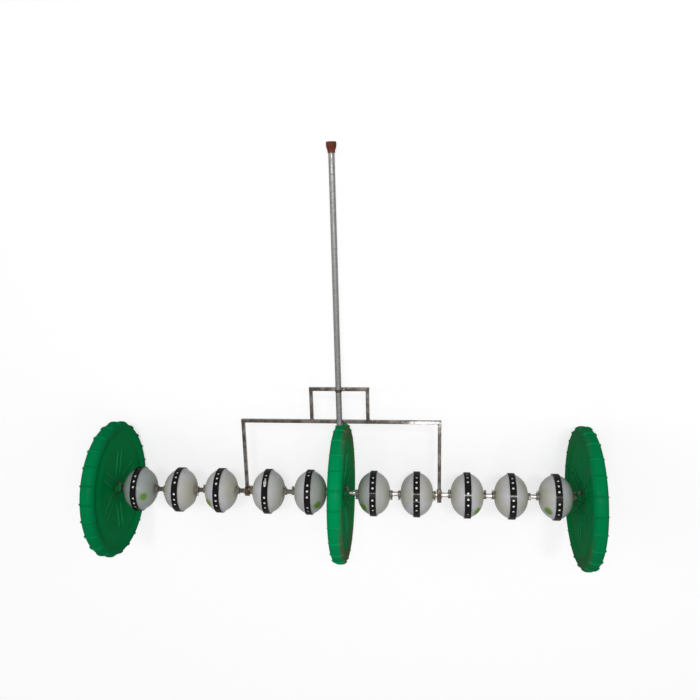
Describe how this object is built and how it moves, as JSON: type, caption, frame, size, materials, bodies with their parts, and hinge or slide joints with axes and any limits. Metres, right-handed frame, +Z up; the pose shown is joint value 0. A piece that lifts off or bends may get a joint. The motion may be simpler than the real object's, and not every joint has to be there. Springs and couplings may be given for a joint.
{
  "type": "paddy seeder",
  "caption": "Hand-pulled paddy seeder: white seed drums with perforated black bands and green lugged wheels on one shaft, carried by a tubular frame with a long pole.",
  "frame": {"origin": "middle of the machine's footprint on the ground it is parked on, under the centre of its bounding box", "axes": "+Z up; +X along the shaft towards the right-hand wheel; +Y towards the knob end of the pole, which rests on the ground"},
  "size_m": [2.224, 1.7658, 0.605],
  "materials": {
    "frame_steel": "brown-grey painted square tube, worn to bare steel along its edges and rubbed faces",
    "pole_steel": "weathered galvanised round tube with dull spangle and fine scratches",
    "strap_steel": "dark steel strap, lightly rusted",
    "bush_steel": "greased steel bush, stained brown",
    "shaft_steel": "bright galvanised pipe, rubbed and slightly dirty near the hubs",
    "knob_red": "red-brown moulded plastic, faded and scuffed on its end",
    "wheel_green": "moulded green plastic, satin, with brown mud stains on the shoulders and lugs",
    "drum_white": "grey-white moulded plastic, satin gloss, slightly soiled",
    "band_black": "black moulded plastic, low gloss, with light wear at its edges",
    "cap_green": "olive-green moulded plastic, faded"
  },
  "bodies": {
    "drawbar_frame": {"crossbar": "frame_steel", "leg_left": "frame_steel", "leg_right": "frame_steel", "bracket_post_left": "frame_steel", "bracket_post_right": "frame_steel", "bracket_bar": "frame_steel", "pole": "pole_steel", "pole_strap": "strap_steel", "pole_knob": "knob_red", "bearing_block_left": "frame_steel", "bearing_block_right": "frame_steel", "bearing_bush_left": "bush_steel", "bearing_bush_right": "bush_steel"},
    "running_gear": {"shaft": "shaft_steel", "wheel_left": "wheel_green", "wheel_centre": "wheel_green", "wheel_right": "wheel_green", "seed_drum_1": "drum_white", "seed_drum_2": "drum_white", "seed_drum_3": "drum_white", "seed_drum_4": "drum_white", "seed_drum_5": "drum_white", "seed_drum_6": "drum_white", "seed_drum_7": "drum_white", "seed_drum_8": "drum_white", "seed_drum_9": "drum_white", "seed_drum_10": "drum_white", "metering_band_1": "band_black", "metering_band_2": "band_black", "metering_band_3": "band_black", "metering_band_4": "band_black", "metering_band_5": "band_black", "metering_band_6": "band_black", "metering_band_7": "band_black", "metering_band_8": "band_black", "metering_band_9": "band_black", "metering_band_10": "band_black", "filler_cap_1": "cap_green", "filler_cap_2": "cap_green", "filler_cap_3": "cap_green", "filler_cap_4": "cap_green", "filler_cap_5": "cap_green", "filler_cap_6": "cap_green", "filler_cap_7": "cap_green", "filler_cap_8": "cap_green", "filler_cap_9": "cap_green", "filler_cap_10": "cap_green"}
  },
  "joints": [
    {"name": "axle_spin", "type": "hinge", "parent": "drawbar_frame", "child": "running_gear", "pos_m": [0, -0.58042, 0.30252], "axis": [1, 0, 0], "continuous": true}
  ]
}
